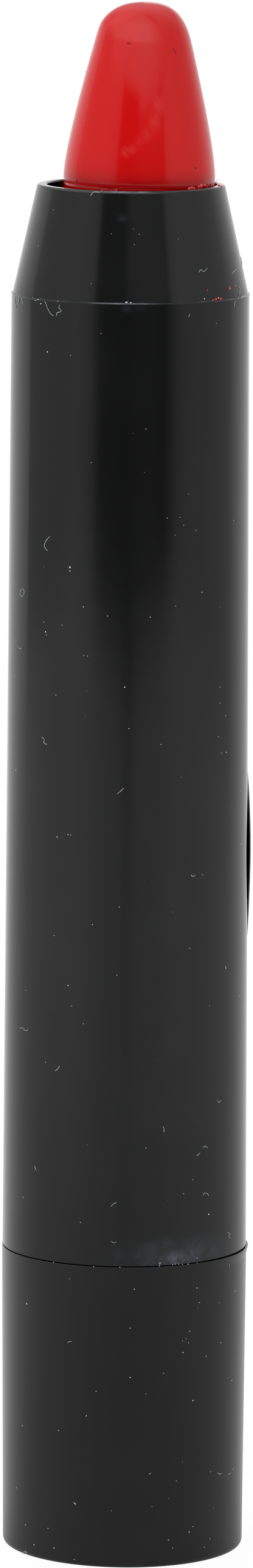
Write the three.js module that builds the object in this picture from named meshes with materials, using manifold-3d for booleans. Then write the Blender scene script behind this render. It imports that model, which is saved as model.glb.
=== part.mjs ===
// Twist-up face paint stick: a black barrel with a cone nose, a turning base and a red paint crayon.
// Millimetres, +Z up, the middle of the base's underside at the origin. The crayon leans towards +X.
// Turning the base about +Z drives a left-hand screw, which lifts the follower, its cup and the crayon.

import * as THREE from 'three';
import { mergeVertices } from 'three/addons/utils/BufferGeometryUtils.js';
import Module from 'manifold-3d';

const wasm = await Module();
wasm.setup();

// Directions of the paired keys, turned from +X about Z
const flangeKeyDegrees = 0;
const nutKeyDegrees = 90;
const coreKeyDegrees = 90;

// Clearances
const fitClearance = 0.05; // between pieces that are pushed or snapped together
const runClearance = 0.1; // round what turns or slides
const seatClearance = 0.05; // under a seated shoulder
const stopClearance = 0.2; // left at each end of the travel
const cutMargin = 1; // how far a cutting shape runs past what it cuts

// Paint crayon
const crayonRadius = 4.3; // widest, just above the mouth
const crayonShankRadius = 4.2;
const crayonFootRadius = 3.9;
const crayonLength = 30;
const crayonReach = 10.33; // tip above the mouth, as it stands
const crayonDomeRadius = 2.66;
const crayonDomeHeight = 2;
const crayonTaperLength = 7.6; // from the dome down to the widest place
const crayonTaperFlare = 0.55; // how much wider the taper is one handle below the dome
const crayonTaperHandle = 1.9; // length of the handles that shape the taper's curve
const crayonSwellLength = 1.8; // from the widest place down to the shank
const crayonLeanDegrees = 1.25;

// Crayon cup
const cupDepth = 6;
const cupWall = 0.48;
const cupFloor = 1;
const cupSkirtLength = 3.5;
const cupSkirtWall = 0.9;
const cupGap = 0.2; // between the cup and the sleeve
const crayonGap = 0.1; // under the crayon's foot

// Barrel
const barrelLength = 55; // parting line to shoulder
const barrelWall = 1.055; // at the shoulder
const barrelDraft = 0.275; // how much the radius grows from shoulder to foot
const noseLength = 6.2;
const noseStep = 0.05; // how far the nose starts inside the shoulder
const noseSeatDepth = 0.7; // how far below the shoulder the sleeve's seat lies
const mouthGap = 0.5; // between the crayon's widest place and the mouth
const rimWall = 0.53;
const rimRound = 0.2;
const mouldLineHeight = 0.06;
const mouldLineWidth = 0.16;
const footChamfer = 0.08;
const partingGap = 0.1;

// Guide sleeve
const sleeveWall = 0.85;
const sleeveFloor = 1;
const flangeThickness = 2;
const flangeHeight = 0.35; // how far it stands out from the sleeve
const flangeKeyWidth = 1.5;
const beadHeight = 0.1;
const beadLength = 0.8;
const beadSpacing = 4; // flange to bead

// Journal at the sleeve's tail
const journalWall = 1.4;
const journalBeadHeight = 0.15;
const journalBeadLift = 0.6; // bead above the journal's end
const ringGrooveLift = 4.2; // ring groove above the journal's end
const ringSection = 0.92;
const ringGrooveDepth = 0.9;
const ringSideGap = 0.1;

// Spindle
const threadLead = 4;
const threadStarts = 2;
const threadCrestRadius = 2.4;
const threadDepth = 0.6;
const threadCrestWidth = 0.5;
const threadRootWidth = 0.5;
const threadRadialClearance = 0.25;
const threadFlankClearance = 0.15;
const shaftRadius = 2.2;
const shaftGap = 0.6; // between the thread's crest and the journal's bore
const spindleTipRadius = 1.2;
const spindleTipHeight = 0.4;
const spindleTopGap = 0.4; // left under the cup when the crayon is right down
const collarRadius = 4;
const collarThickness = 1.1;
const hexRadius = 2.6; // over the corners
const hexSides = 6;
const hexLength = 5;

// Follower
const nutLength = 5;
const nutKeyWidth = 1.4;
const nutKeyHeight = 3.6;
const nutKeyLift = 0.8; // keys above the nut's underside
const nutKeyRadius = 5.4;
const stemRadius = 4.2;
const stemBoreGap = 0.3; // round the thread's crest
const followerLength = 28;

// Turning base
const baseLength = 17.57;
const baseProud = 0.035; // how far the base's edge stands out past the barrel's foot
const baseDraft = 0.12;
const baseWall = 1.1;
const baseFloor = 1.3;
const baseFillet = 0.35;
const baseTopRound = 0.08;
const undersideRecess = 0.2;
const undersideRing = 1; // width of the ring that the stick stands on
const coreFloor = 1.2;
const coreKeyWidth = 1.2;
const coreKeyHeight = 0.4;
const coreKeyTopGap = 1;

// Side label, an oval
const labelHeight = 14;
const labelWidth = 7.5; // along the arc
const labelThickness = 0.12;
const labelMiddle = 40.2; // above the underside of the base
const labelFrontDegrees = -1; // where its front edge lies, from +X towards +Y
const glueGap = 0.02;

// Travel
const tipRecess = 0.6; // tip below the mouth when it is right down
const cupRecess = 0.1; // cup's rim below the mouth when it is right up

// How finely things are turned
const roundSides = 48;
const labelSides = 96;
const labelSteps = 24;
const ringSides = 32;
const ringSectionSides = 8;
const arcSteps = 4;
const taperSteps = 8;
const screwStepsPerTurn = 12;
const crestSteps = 2; // each side of the middle of a nut's groove

// Heights
const barrelFoot = baseLength + partingGap;
const shoulder = barrelFoot + barrelLength;
const mouth = shoulder + noseLength;
const sleeveSeat = shoulder - noseSeatDepth;
const crayonTip = mouth + crayonReach;
const crayonFoot = crayonTip - crayonLength;
const cupFloorTop = crayonFoot - crayonGap;
const cupFloorUnder = cupFloorTop - cupFloor;
const cupRim = cupFloorTop + cupDepth;
const cupSkirtFoot = cupFloorUnder - cupSkirtLength;
const followerTop = cupFloorUnder - seatClearance;
const nutFoot = followerTop - followerLength;
const nutTop = nutFoot + nutLength;
const travelDown = crayonReach + tipRecess;
const travelUp = mouth - cupRecess - cupRim;
const socketFloor = baseFloor + coreFloor;
const collarSeat = socketFloor + hexLength;
const collarFoot = collarSeat + seatClearance;
const journalFoot = collarFoot + collarThickness + runClearance;
const threadFoot = nutFoot - travelDown - stopClearance;
const spindleTop = cupFloorUnder - travelDown - spindleTopGap;
const threadTop = spindleTop - spindleTipHeight;

// Radii
const mouthRadius = crayonRadius + mouthGap;
const sleeveRadius = mouthRadius + sleeveWall;
const barrelBore = sleeveRadius + fitClearance;
const shoulderRadius = barrelBore + barrelWall;
const barrelFootRadius = shoulderRadius + barrelDraft;
const rimRadius = mouthRadius + rimWall;
const flangeRadius = sleeveRadius + flangeHeight;
const flangeBore = flangeRadius + fitClearance;
const baseTopRadius = barrelFootRadius + baseProud;
const baseFootRadius = baseTopRadius - baseDraft;
const coverBore = baseFootRadius - baseWall;
const coreRadius = coverBore - fitClearance;
const journalBore = threadCrestRadius + shaftGap;
const journalRadius = journalBore + journalWall;
const coreBore = journalRadius + runClearance;
const threadRootRadius = threadCrestRadius - threadDepth;
const stemBore = threadCrestRadius + stemBoreGap;
const nutRadius = mouthRadius - runClearance;
const cupRadius = mouthRadius - cupGap;
const skirtBore = cupRadius - cupSkirtWall;
const neckRadius = skirtBore - fitClearance;

// The barrel's outer radius at a height, with its moulding draft.
function barrelRadiusAt(height) {
  return shoulderRadius + (barrelDraft * (shoulder - height)) / barrelLength;
}

// Points of a quarter round from one [radius, height] point to another, bulging towards a corner.
function quarterRound(start, corner, end) {
  const arc = new THREE.QuadraticBezierCurve(
    new THREE.Vector2(...start),
    new THREE.Vector2(...corner),
    new THREE.Vector2(...end),
  );
  return arc.getPoints(arcSteps).map((point) => [point.x, point.y]);
}

// Turns a profile of [radius, height] points about Z. A profile off the axis closes on itself.
function turned(profile, sides = roundSides) {
  const points = profile.map(([radius, height]) => new THREE.Vector2(radius, height));
  if (profile[0][0] > 0) points.push(points[0].clone());
  return new THREE.LatheGeometry(points, sides).rotateX(Math.PI / 2);
}

// A solid that can be cut and joined, from a closed geometry.
function solidOf(geometry) {
  const bare = geometry.clone();
  bare.deleteAttribute('normal');
  bare.deleteAttribute('uv');
  const merged = mergeVertices(bare);
  const vertProperties = merged.attributes.position.array;
  const triVerts = new Uint32Array(merged.index.array);
  return new wasm.Manifold(new wasm.Mesh({ numProp: 3, vertProperties, triVerts }));
}

// A geometry that can be drawn, from a cut or joined solid.
function geometryOf(solid) {
  const { vertProperties, triVerts } = solid.getMesh();
  const geometry = new THREE.BufferGeometry();
  geometry.setAttribute('position', new THREE.BufferAttribute(vertProperties, 3));
  geometry.setIndex(new THREE.BufferAttribute(triVerts, 1));
  const faceted = geometry.toNonIndexed();
  faceted.computeVertexNormals();
  return faceted;
}

// A box solid across the axis between two heights, turned about Z.
function bar(length, width, bottom, top, degrees) {
  const box = new THREE.BoxGeometry(length, width, top - bottom);
  box.translate(0, 0, (top + bottom) / 2);
  box.rotateZ(THREE.MathUtils.degToRad(degrees));
  return solidOf(box);
}

// The part of a turned ring that lies under a bar through the axis: two ribs, one on each side.
function ribPair(innerRadius, outerRadius, width, bottom, top, degrees) {
  const ring = turned([
    [innerRadius, bottom],
    [outerRadius, bottom],
    [outerRadius, top],
    [innerRadius, top],
  ]);
  const across = 2 * (outerRadius + cutMargin);
  return solidOf(ring).intersect(bar(across, width, bottom - cutMargin, top + cutMargin, degrees));
}

// An arc of a section as [angle, radius] points, spread evenly on both sides of its middle.
function arcPoints(middle, half, radius, steps) {
  const points = [];
  for (let step = -steps; step <= steps; step++) points.push([middle + (half * step) / steps, radius]);
  return points;
}

// The section of a screw as [angle, radius] points: for each start, its crest and then its root.
function threadSection(crestRadius, rootRadius, crestWidth, rootWidth, steps) {
  const section = [];
  const startAngle = (2 * Math.PI) / threadStarts;
  const crestHalf = (Math.PI * crestWidth) / threadLead;
  const rootHalf = (Math.PI * rootWidth) / threadLead;
  for (let start = 0; start < threadStarts; start++) {
    const crestMiddle = start * startAngle;
    section.push(...arcPoints(crestMiddle, crestHalf, crestRadius, steps));
    section.push(...arcPoints(crestMiddle + startAngle / 2, rootHalf, rootRadius, 1));
  }
  return section;
}

// A solid whose section turns with height, as a left-hand screw's does.
function screwSolid(section, bottom, top) {
  const steps = Math.ceil(((top - bottom) / threadLead) * screwStepsPerTurn);
  const sides = section.length;
  const positions = [];
  const triangles = [];
  for (let step = 0; step <= steps; step++) {
    const height = bottom + ((top - bottom) * step) / steps;
    const turn = (-2 * Math.PI * height) / threadLead;
    for (const [angle, radius] of section) {
      positions.push(radius * Math.cos(angle + turn), radius * Math.sin(angle + turn), height);
    }
  }
  for (let step = 0; step < steps; step++) {
    for (let side = 0; side < sides; side++) {
      const low = step * sides + side;
      const lowNext = step * sides + ((side + 1) % sides);
      triangles.push(low, lowNext, lowNext + sides, low, lowNext + sides, low + sides);
    }
  }
  const bottomMiddle = positions.length / 3;
  positions.push(0, 0, bottom, 0, 0, top);
  for (let side = 0; side < sides; side++) {
    const next = (side + 1) % sides;
    triangles.push(bottomMiddle, next, side);
    triangles.push(bottomMiddle + 1, steps * sides + side, steps * sides + next);
  }
  const geometry = new THREE.BufferGeometry();
  geometry.setAttribute('position', new THREE.Float32BufferAttribute(positions, 3));
  geometry.setIndex(triangles);
  return solidOf(geometry);
}

// A raised bead on the outside of a profile, from its foot upwards, as [radius, height] points.
function beadOutline(radius, height, foot, length) {
  return [
    [radius, foot],
    [radius + height, foot + height],
    [radius + height, foot + length - height],
    [radius, foot + length],
  ];
}

// The groove that takes a bead, wider by a clearance at each end, as [radius, height] points.
function grooveOutline(boreRadius, height, foot, length) {
  return beadOutline(boreRadius, height, foot - fitClearance, length + 2 * fitClearance);
}

// Barrel: tapering tube, mould line at the shoulder, cone nose and rounded rim.
function makeBarrel() {
  const beadFoot = barrelFoot + flangeThickness + beadSpacing;
  const seatTop = barrelFoot + flangeThickness + seatClearance;
  const lineHalf = mouldLineWidth / 2;
  const round = Math.min(rimRound, rimWall / 2 - fitClearance);
  const tube = turned([
    [flangeBore, barrelFoot],
    [barrelFootRadius - footChamfer, barrelFoot],
    [barrelRadiusAt(barrelFoot + footChamfer), barrelFoot + footChamfer],
    [barrelRadiusAt(shoulder - lineHalf), shoulder - lineHalf],
    [shoulderRadius + mouldLineHeight, shoulder],
    [shoulderRadius - noseStep, shoulder + lineHalf],
    ...quarterRound([rimRadius, mouth - round], [rimRadius, mouth], [rimRadius - round, mouth]),
    ...quarterRound([mouthRadius + round, mouth], [mouthRadius, mouth], [mouthRadius, mouth - round]),
    [mouthRadius, sleeveSeat],
    [barrelBore, sleeveSeat],
    ...grooveOutline(barrelBore, beadHeight, beadFoot, beadLength).reverse(),
    [barrelBore, seatTop],
    [flangeBore, seatTop],
  ]);
  const keys = ribPair(
    barrelBore,
    flangeBore + fitClearance,
    flangeKeyWidth,
    barrelFoot + footChamfer,
    seatTop + fitClearance,
    flangeKeyDegrees,
  );
  return geometryOf(solidOf(tube).add(keys));
}

// Guide sleeve: slotted tube with a keyed flange, and below it the journal on which the base turns.
function makeGuideSleeve() {
  const flangeTop = barrelFoot + flangeThickness;
  const sleeveTop = sleeveSeat - seatClearance;
  const floorTop = barrelFoot + sleeveFloor;
  const ringFoot = journalFoot + ringGrooveLift;
  const ringTop = ringFoot + ringSection + 2 * ringSideGap;
  const grooveRadius = journalRadius - ringGrooveDepth;
  const tube = turned([
    [journalBore, journalFoot],
    [journalRadius - journalBeadHeight, journalFoot],
    ...beadOutline(journalRadius, journalBeadHeight, journalFoot + journalBeadLift, beadLength),
    [journalRadius, ringFoot],
    [grooveRadius, ringFoot],
    [grooveRadius, ringTop],
    [journalRadius, ringTop],
    [journalRadius, barrelFoot],
    [flangeRadius, barrelFoot],
    [flangeRadius, flangeTop],
    [sleeveRadius, flangeTop],
    ...beadOutline(sleeveRadius, beadHeight, flangeTop + beadSpacing, beadLength),
    [sleeveRadius, sleeveTop],
    [mouthRadius, sleeveTop],
    [mouthRadius, floorTop],
    [journalBore, floorTop],
  ]);
  const keyFoot = nutFoot + nutKeyLift;
  const slotFoot = keyFoot - travelDown - stopClearance;
  const slotTop = keyFoot + nutKeyHeight + travelUp + stopClearance;
  const across = 2 * (sleeveRadius + cutMargin);
  const slots = bar(across, nutKeyWidth + 2 * runClearance, slotFoot, slotTop, nutKeyDegrees);
  const notchWidth = flangeKeyWidth + 2 * fitClearance;
  const notches = ribPair(
    sleeveRadius,
    flangeRadius + cutMargin,
    notchWidth,
    barrelFoot - cutMargin,
    flangeTop + fitClearance,
    flangeKeyDegrees,
  );
  return geometryOf(solidOf(tube).subtract(slots).subtract(notches));
}

// Friction ring in the journal's groove, all but touching the core's bore.
function makeRing() {
  const middleRadius = coreBore - fitClearance / 2 - ringSection / 2;
  const middleHeight = journalFoot + ringGrooveLift + ringSideGap + ringSection / 2;
  const section = [];
  for (let side = 0; side < ringSectionSides; side++) {
    const angle = (2 * Math.PI * side) / ringSectionSides;
    const radius = middleRadius + (ringSection / 2) * Math.cos(angle);
    section.push([radius, middleHeight + (ringSection / 2) * Math.sin(angle)]);
  }
  return turned(section, ringSides);
}

// Label: a thin curved oval lying on the barrel, cut out of a film all round it.
function makeLabel() {
  const foot = labelMiddle - labelHeight / 2 - cutMargin;
  const top = labelMiddle + labelHeight / 2 + cutMargin;
  const outer = glueGap + labelThickness;
  const film = turned(
    [
      [barrelRadiusAt(foot) + glueGap, foot],
      [barrelRadiusAt(foot) + outer, foot],
      [barrelRadiusAt(top) + outer, top],
      [barrelRadiusAt(top) + glueGap, top],
    ],
    labelSides,
  );
  const middleRadius = barrelRadiusAt(labelMiddle);
  const halfTurn = labelWidth / middleRadius / 2;
  const halfWidth = (middleRadius + outer) * Math.sin(halfTurn);
  const outline = new THREE.Shape();
  outline.absellipse(0, 0, halfWidth, labelHeight / 2, 0, 2 * Math.PI);
  const cutter = new THREE.ExtrudeGeometry(outline, {
    depth: middleRadius + cutMargin,
    bevelEnabled: false,
    curveSegments: labelSteps,
  });
  cutter.rotateX(Math.PI / 2);
  cutter.rotateZ(Math.PI / 2);
  cutter.rotateZ(THREE.MathUtils.degToRad(labelFrontDegrees) + halfTurn);
  cutter.translate(0, 0, labelMiddle);
  return geometryOf(solidOf(film).intersect(solidOf(cutter)));
}

// Base cover: a drafted cup with a rounded foot, a recessed underside and two inner keys.
function makeBaseCover() {
  const recessRadius = baseFootRadius - baseFillet - undersideRing;
  const shell = turned([
    [0, undersideRecess],
    [recessRadius, undersideRecess],
    [recessRadius, 0],
    ...quarterRound([baseFootRadius - baseFillet, 0], [baseFootRadius, 0], [baseFootRadius, baseFillet]),
    ...quarterRound(
      [baseTopRadius, baseLength - baseTopRound],
      [baseTopRadius, baseLength],
      [baseTopRadius - baseTopRound, baseLength],
    ),
    [coverBore, baseLength],
    [coverBore, baseFloor],
    [0, baseFloor],
  ]);
  const keyTop = baseLength - coreKeyTopGap;
  const keys = ribPair(
    coverBore - coreKeyHeight,
    coverBore + fitClearance,
    coreKeyWidth,
    baseFloor - fitClearance,
    keyTop,
    coreKeyDegrees,
  );
  return geometryOf(solidOf(shell).add(keys));
}

// Base core: bush that turns on the journal, with a hexagonal socket for the spindle's foot.
function makeBaseCore() {
  const beadFoot = journalFoot + journalBeadLift;
  const bush = turned([
    [0, baseFloor],
    [coreRadius, baseFloor],
    [coreRadius, baseLength],
    [coreBore, baseLength],
    ...grooveOutline(coreBore, journalBeadHeight, beadFoot, beadLength).reverse(),
    [coreBore, collarSeat],
    [0, collarSeat],
  ]);
  const socket = new THREE.CylinderGeometry(
    hexRadius + runClearance,
    hexRadius + runClearance,
    hexLength + cutMargin,
    hexSides,
  );
  socket.rotateX(Math.PI / 2);
  socket.translate(0, 0, socketFloor + (hexLength + cutMargin) / 2);
  const keywayFloor = coverBore - coreKeyHeight - runClearance;
  const keyways = ribPair(
    keywayFloor,
    coverBore + cutMargin,
    coreKeyWidth + 2 * runClearance,
    baseFloor - cutMargin,
    baseLength + cutMargin,
    coreKeyDegrees,
  );
  return geometryOf(solidOf(bush).subtract(solidOf(socket)).subtract(keyways));
}

// Spindle: hexagonal foot, thrust collar, plain shaft and a two-start left-hand thread.
function makeSpindle() {
  const overlap = fitClearance;
  const footLength = collarFoot - socketFloor - seatClearance + overlap;
  const hex = new THREE.CylinderGeometry(hexRadius, hexRadius, footLength, hexSides);
  hex.rotateX(Math.PI / 2);
  hex.translate(0, 0, socketFloor + seatClearance + footLength / 2);
  const shaft = turned([
    [0, collarFoot],
    [collarRadius, collarFoot],
    [collarRadius, collarFoot + collarThickness],
    [shaftRadius, collarFoot + collarThickness],
    [shaftRadius, threadFoot],
    [0, threadFoot],
  ]);
  const section = threadSection(threadCrestRadius, threadRootRadius, threadCrestWidth, threadRootWidth, 1);
  const thread = screwSolid(section, threadFoot - overlap, threadTop);
  const tip = turned([
    [0, threadTop - overlap],
    [threadRootRadius - overlap, threadTop - overlap],
    [spindleTipRadius, spindleTop],
    [0, spindleTop],
  ]);
  return geometryOf(solidOf(hex).add(solidOf(shaft)).add(thread).add(solidOf(tip)));
}

// Follower: threaded nut with two keys in the sleeve's slots, and a hollow stem up to the cup.
function makeFollower() {
  const neckFoot = cupSkirtFoot - seatClearance;
  const beadFoot = cupFloorUnder - cupSkirtLength / 2;
  const body = turned([
    [0, nutFoot],
    [nutRadius, nutFoot],
    [nutRadius, nutTop],
    [stemRadius, nutTop],
    [stemRadius, neckFoot],
    [neckRadius, neckFoot],
    ...beadOutline(neckRadius, beadHeight, beadFoot, beadLength),
    [neckRadius, followerTop],
    [0, followerTop],
  ]);
  const keyFoot = nutFoot + nutKeyLift;
  const keys = bar(2 * nutKeyRadius, nutKeyWidth, keyFoot, keyFoot + nutKeyHeight, nutKeyDegrees);
  const section = threadSection(
    threadCrestRadius + threadRadialClearance,
    threadRootRadius + threadRadialClearance,
    threadCrestWidth + 2 * threadFlankClearance,
    threadRootWidth - 2 * threadFlankClearance,
    crestSteps,
  );
  const thread = screwSolid(section, nutFoot - cutMargin, nutTop + cutMargin);
  const bore = turned([
    [0, nutTop],
    [stemBore, nutTop],
    [stemBore, followerTop + cutMargin],
    [0, followerTop + cutMargin],
  ]);
  return geometryOf(solidOf(body).add(keys).subtract(thread).subtract(solidOf(bore)));
}

// Crayon cup: holds the crayon's foot and snaps over the follower's neck.
function makeCup() {
  const beadFoot = cupFloorUnder - cupSkirtLength / 2;
  return turned([
    [0, cupFloorUnder],
    [skirtBore, cupFloorUnder],
    ...grooveOutline(skirtBore, beadHeight, beadFoot, beadLength).reverse(),
    [skirtBore, cupSkirtFoot],
    [cupRadius, cupSkirtFoot],
    [cupRadius, cupRim],
    [cupRadius - cupWall, cupRim],
    [cupRadius - cupWall, cupFloorTop],
    [0, cupFloorTop],
  ]);
}

// Paint crayon, from the middle of its foot upwards: shank, swelling, taper and dome.
function makeCrayon() {
  const domeFoot = crayonLength - crayonDomeHeight;
  const widest = domeFoot - crayonTaperLength;
  const taper = new THREE.CubicBezierCurve(
    new THREE.Vector2(crayonRadius, widest),
    new THREE.Vector2(crayonRadius, widest + crayonTaperHandle),
    new THREE.Vector2(crayonDomeRadius + crayonTaperFlare, domeFoot - crayonTaperHandle),
    new THREE.Vector2(crayonDomeRadius, domeFoot),
  );
  const dome = [];
  for (let step = 1; step <= taperSteps; step++) {
    const angle = (Math.PI / 2) * (step / taperSteps);
    dome.push([crayonDomeRadius * Math.cos(angle), domeFoot + crayonDomeHeight * Math.sin(angle)]);
  }
  dome[dome.length - 1][0] = 0;
  return turned([
    [0, 0],
    [crayonFootRadius, 0],
    [crayonFootRadius, cupDepth + crayonGap],
    [crayonShankRadius, cupDepth + crayonGap],
    [crayonShankRadius, widest - crayonSwellLength],
    ...taper.getPoints(taperSteps).map((point) => [point.x, point.y]),
    ...dome,
  ]);
}

// A named mesh with its own material.
function piece(name, geometry, color, roughness) {
  const material = new THREE.MeshStandardMaterial({ color, roughness, metalness: 0 });
  const mesh = new THREE.Mesh(geometry, material);
  mesh.name = name;
  return mesh;
}

const gloss = 0.18;
const satin = 0.4;
const matte = 0.6;

const barrelGroup = new THREE.Group();
barrelGroup.add(
  piece('barrel', makeBarrel(), 0x141516, gloss),
  piece('guide_sleeve', makeGuideSleeve(), 0x2b2c2e, satin),
  piece('o_ring', makeRing(), 0x0c0c0c, matte),
  piece('side_label', makeLabel(), 0x1b1b1c, satin),
);

const baseGroup = new THREE.Group();
baseGroup.add(
  piece('base_cover', makeBaseCover(), 0x191a1b, satin),
  piece('base_core', makeBaseCore(), 0x2b2c2e, satin),
  piece('spindle', makeSpindle(), 0xd8d6cf, satin),
);

const crayon = piece('paint_crayon', makeCrayon(), 0xc0161a, satin);
crayon.position.z = crayonFoot;
crayon.rotation.y = THREE.MathUtils.degToRad(crayonLeanDegrees);

const carrierGroup = new THREE.Group();
carrierGroup.add(
  piece('follower', makeFollower(), 0xd8d6cf, satin),
  piece('crayon_cup', makeCup(), 0xe4e2dc, satin),
  crayon,
);

const stick = new THREE.Group();
stick.add(barrelGroup, baseGroup, carrierGroup);

export default stick;
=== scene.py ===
import math
import random

import bmesh
import bpy
from mathutils import Matrix, Vector, noise


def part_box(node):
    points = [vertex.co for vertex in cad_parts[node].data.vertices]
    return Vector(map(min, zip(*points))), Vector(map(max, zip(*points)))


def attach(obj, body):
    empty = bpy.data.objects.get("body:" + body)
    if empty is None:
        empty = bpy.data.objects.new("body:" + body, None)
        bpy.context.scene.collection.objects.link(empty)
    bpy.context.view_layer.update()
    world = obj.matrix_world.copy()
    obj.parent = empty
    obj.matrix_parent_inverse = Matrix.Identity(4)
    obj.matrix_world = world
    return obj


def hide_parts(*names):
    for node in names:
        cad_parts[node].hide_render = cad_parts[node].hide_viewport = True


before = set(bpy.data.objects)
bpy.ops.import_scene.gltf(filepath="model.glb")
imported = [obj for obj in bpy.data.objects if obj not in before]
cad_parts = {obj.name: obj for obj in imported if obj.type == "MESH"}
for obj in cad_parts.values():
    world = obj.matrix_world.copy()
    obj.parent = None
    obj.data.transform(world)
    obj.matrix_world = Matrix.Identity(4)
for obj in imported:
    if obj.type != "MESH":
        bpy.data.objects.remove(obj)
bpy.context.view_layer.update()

MM = 0.001

# Photograph and camera
PHOTO_WIDTH = 416
PHOTO_HEIGHT = 2576
SENSOR = 36.0
LENS = 196.1
CAMERA_DISTANCE = 490 * MM
CAMERA_ELEVATION = math.radians(8.53)
CAMERA_TARGET = Vector((-0.042 * MM, 0, 44.417 * MM))
CAMERA_ROLL = math.radians(0.38)
CAMERA_CLIP = (0.01, 50)
FOCAL = LENS / SENSOR * PHOTO_HEIGHT
PIXEL = CAMERA_DISTANCE / FOCAL

# Barrel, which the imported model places
barrel_low, barrel_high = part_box("barrel")
PARTING_TRIM = 0.02 * MM
BARREL_FOOT = barrel_low.z - PARTING_TRIM
MOUTH = barrel_high.z
NOSE_LENGTH = 6.2 * MM
SHOULDER = MOUTH - NOSE_LENGTH
SHOULDER_RADIUS = 6.775 * MM
NOSE_STEP = 0.06 * MM
BARREL_DRAFT = 0.275 * MM
BARREL_FOOT_RADIUS = SHOULDER_RADIUS + BARREL_DRAFT
NOSE_RADIUS = SHOULDER_RADIUS - NOSE_STEP
RIM_RADIUS = 5.34 * MM
MOUTH_RADIUS = 4.80 * MM
BARREL_BORE = 5.70 * MM
FLANGE_BORE = 6.05 * MM
FLANGE_DEPTH = 2.05 * MM
SEAT_DEPTH = 0.7 * MM
FOOT_ROUND = 0.03 * MM
RIM_OUTER_ROUND = 0.14 * MM
RIM_INNER_ROUND = 0.1 * MM
MOULD_LINE_HEIGHT = 0.035 * MM
MOULD_LINE_HALF = 0.05 * MM
MOULD_WAVES = 9
MOULD_RIPPLES = 5
MOULD_RIPPLE_SHARE = 0.6
MOULD_UNEVEN = 0.02 * MM
MOULD_SHRINK = 0.01 * MM
MOULD_SHIFT = 0.012 * MM

# Base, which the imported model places
base_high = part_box("base_cover")[1]
BASE_TOP = base_high.z + PARTING_TRIM
BASE_TOP_RADIUS = base_high.x
BASE_DRAFT = 0.12 * MM
BASE_FOOT_RADIUS = BASE_TOP_RADIUS - BASE_DRAFT
BASE_WALL = 1.1 * MM
BASE_BORE = BASE_FOOT_RADIUS - BASE_WALL
BASE_MID_WALL = BASE_FOOT_RADIUS - BASE_WALL / 2
BASE_FLOOR = 1.3 * MM
BASE_FILLET = 0.35 * MM
BASE_TOP_ROUND = 0.03 * MM
BASE_LIP = 0.10 * MM
BASE_LIP_HEIGHT = 0.5 * MM
RECESS_DEPTH = 0.2 * MM
FOOT_RING = 1.0 * MM
RECESS_RADIUS = BASE_FOOT_RADIUS - BASE_FILLET - FOOT_RING
RECESS_ROUND = 0.1 * MM
RECESS_BEVEL = 0.05 * MM
GATE_RADIUS = 0.9 * MM
GATE_END_SHARE = 0.6
GATE_HEIGHT = 0.12 * MM
FOOT_SINK = 0.04 * MM
FOOT_TILT = 0.04 * MM

# Crayon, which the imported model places
crayon_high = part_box("paint_crayon")[1]
CRAYON_TIP = crayon_high.z
CRAYON_LENGTH = 30 * MM
CRAYON_FOOT = CRAYON_TIP - CRAYON_LENGTH
CRAYON_LEAN = math.radians(1.305)
CRAYON_FOOT_RADIUS = 3.9 * MM
CRAYON_SHANK_RADIUS = 4.2 * MM
CRAYON_RADIUS = 4.32 * MM
CRAYON_CUP_DEPTH = 6.1 * MM
DOME_TOP = CRAYON_LENGTH - 1.0 * MM
DOME_SHIFT = 0.10 * MM
DOME_SIDE = CRAYON_LENGTH - 1.2 * MM
DOME_SIDE_REACH = 1.3 * MM
DOME_SIDE_PROUD = 0.07 * MM
CASTING_WAVE = 0.003 * MM
CASTING_WAVE_LENGTH = 2.6 * MM

# The crayon's outline, as radii and distances below its tip, with the handles of the curves between them
SHANK_TOP = (CRAYON_SHANK_RADIUS, 12.6 * MM)
SHANK_HANDLE = 1.0 * MM
WIDEST = (CRAYON_RADIUS, 9.93 * MM)
FLANK_HANDLES = ((CRAYON_RADIUS, 8.49 * MM), (3.277 * MM, 4.27 * MM))
DOME_FOOT = (2.735 * MM, 2.2 * MM)
DOME_HANDLES = ((2.355 * MM, 0.75 * MM), (1.68 * MM, -0.01 * MM))
DOME_TIP = (0, -0.01 * MM)

# Label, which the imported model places
label_low, label_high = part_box("side_label")
LABEL_MIDDLE = (label_low.z + label_high.z) / 2
LABEL_HEIGHT = label_high.z - label_low.z
LABEL_GAP = 0.01 * MM
LABEL_THICKNESS = 0.06 * MM
LABEL_LIFT = 0.12 * MM
LABEL_LOOSE_ANGLE = 0.08
LABEL_LOOSE_POWER = 9
LABEL_RINGS = 12
LABEL_SIDES = 96
# The label's cut edge, as shares of the label's half width and the heights there
LABEL_RIM = ((0.985, 0), (1, 0), (1.003, LABEL_THICKNESS / 2), (1, LABEL_THICKNESS))

LATHE_SIDES = 192
ON_AXIS = 1e-9
GUARD = 0.02 * MM
SHARP_DEGREES = 30
SIGHT_PASSES = 12
rng = random.Random(5)

# Places on the photograph, in its pixels
SMEAR = (291, 2064)
SMUDGES = ((200, 358), (210, 507), (230, 507), (258, 2062), (342, 2062))
COLLAR = (165, 311)
COLLAR_FOOT = (165, 318)
PIT = (212, 73)

# The bloom on the crayon, as the pixels of its patches, their half width and height, and their strength
BLOOM = (
    (207, 250, 12, 13, 1.0), (217, 245, 13, 13, 0.7), (228, 232, 13, 15, 0.4), (241, 220, 14, 18, 0.65),
    (254, 200, 15, 28, 0.95), (260, 174, 16, 32, 0.95),
)

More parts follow.
